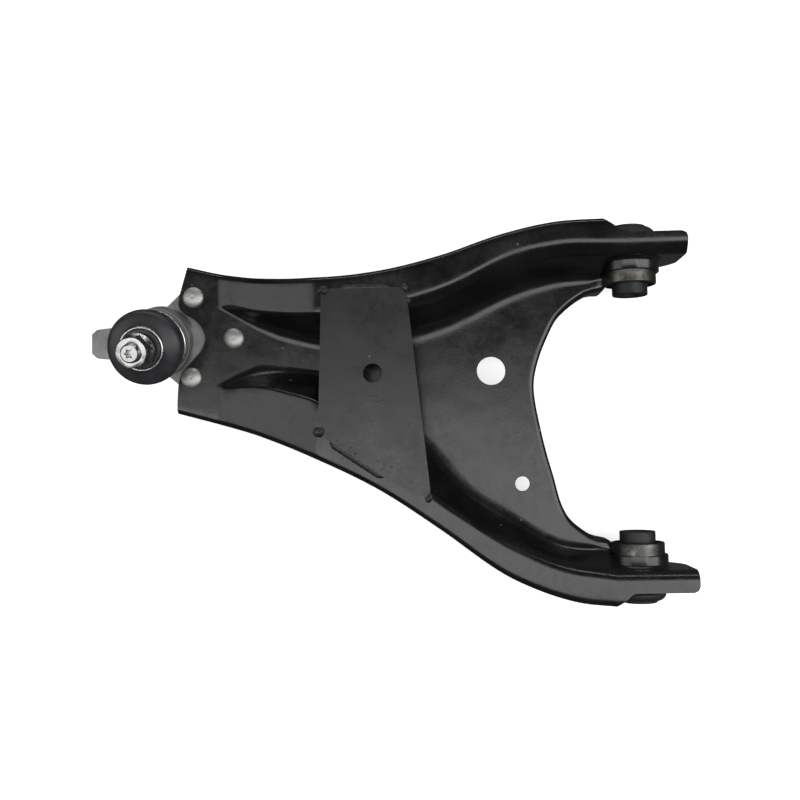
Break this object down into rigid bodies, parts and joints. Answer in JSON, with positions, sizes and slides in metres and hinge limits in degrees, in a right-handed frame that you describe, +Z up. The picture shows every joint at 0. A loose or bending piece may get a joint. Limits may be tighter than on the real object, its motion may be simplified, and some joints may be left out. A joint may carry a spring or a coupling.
{
  "type": "suspension control arm",
  "caption": "Pressed steel lower suspension arm, A-shaped, with rubber bushes on one pivot axis, a welded cover plate and a riveted ball joint under a dust boot.",
  "frame": {"origin": "centre of the front bush's bore, on the pivot axis", "axes": "+Y along the pivot axis from the rear bush to the front bush; +X from the ball joint to the pivot axis; +Z up, the way the ball stud stands out of its housing; the web of the arm lies in the plane z = 0"},
  "size_m": [0.3875, 0.2417, 0.0975],
  "materials": {
    "black_coat": "gloss black dip coat",
    "black_coat_plate": "satin black dip coat",
    "weld": "rough, coated over",
    "rivet_steel": "bright, lightly peened",
    "housing_steel": "grey, blasted",
    "seat_plastic": "moulded",
    "stud_steel": "turned",
    "zinc": "zinc plated",
    "boot_rubber": "matt dark grey",
    "ring_steel": "bright wire",
    "sleeve_steel": "bare, patchy",
    "bush_rubber": "matt black",
    "tube_steel": "dark phosphated, serrated ends"
  },
  "bodies": {
    "arm": {"arm_stamping": "black_coat", "cover_plate": "black_coat_plate", "tack_welds": "weld", "seam_welds": "weld", "ball_joint_rivets": "rivet_steel", "ball_joint_housing": "housing_steel", "housing_cap": "housing_steel", "ball_seat_upper": "seat_plastic", "ball_seat_lower": "seat_plastic", "boot_lower_ring": "ring_steel", "front_bush_sleeve": "sleeve_steel", "front_bush_rubber": "bush_rubber", "rear_bush_sleeve": "sleeve_steel", "rear_bush_rubber": "bush_rubber"},
    "front_tube": {"front_bush_inner_tube": "tube_steel"},
    "rear_tube": {"rear_bush_inner_tube": "tube_steel"},
    "boot_side": {"dust_boot": "boot_rubber"},
    "boot_neck": {"boot_upper_ring": "ring_steel"},
    "stud": {"ball_stud": "stud_steel", "stud_nut": "zinc"}
  },
  "joints": [
    {"name": "front_bush_twist", "type": "hinge", "parent": "arm", "child": "front_tube", "pos_m": [0, 0, 0], "axis": [0, 1, 0], "range_deg": [-25, 25], "stiffness_Nm_per_rad": 4},
    {"name": "rear_bush_twist", "type": "hinge", "parent": "arm", "child": "rear_tube", "pos_m": [0, -0.196, 0], "axis": [0, 1, 0], "range_deg": [-25, 25], "stiffness_Nm_per_rad": 4},
    {"name": "ball_tilt_travel", "type": "hinge", "parent": "arm", "child": "boot_side", "pos_m": [-0.309, -0.0468, 0.0078], "axis": [0, 1, 0], "range_deg": [-22, 22]},
    {"name": "ball_tilt_fore_aft", "type": "hinge", "parent": "boot_side", "child": "boot_neck", "pos_m": [-0.309, -0.0468, 0.0078], "axis": [1, 0, 0], "range_deg": [-18, 18], "deforming": ["dust_boot"]},
    {"name": "ball_spin", "type": "hinge", "parent": "boot_neck", "child": "stud", "pos_m": [-0.309, -0.0468, 0.0078], "axis": [0.017, -0.225, 0.9742], "continuous": true}
  ]
}
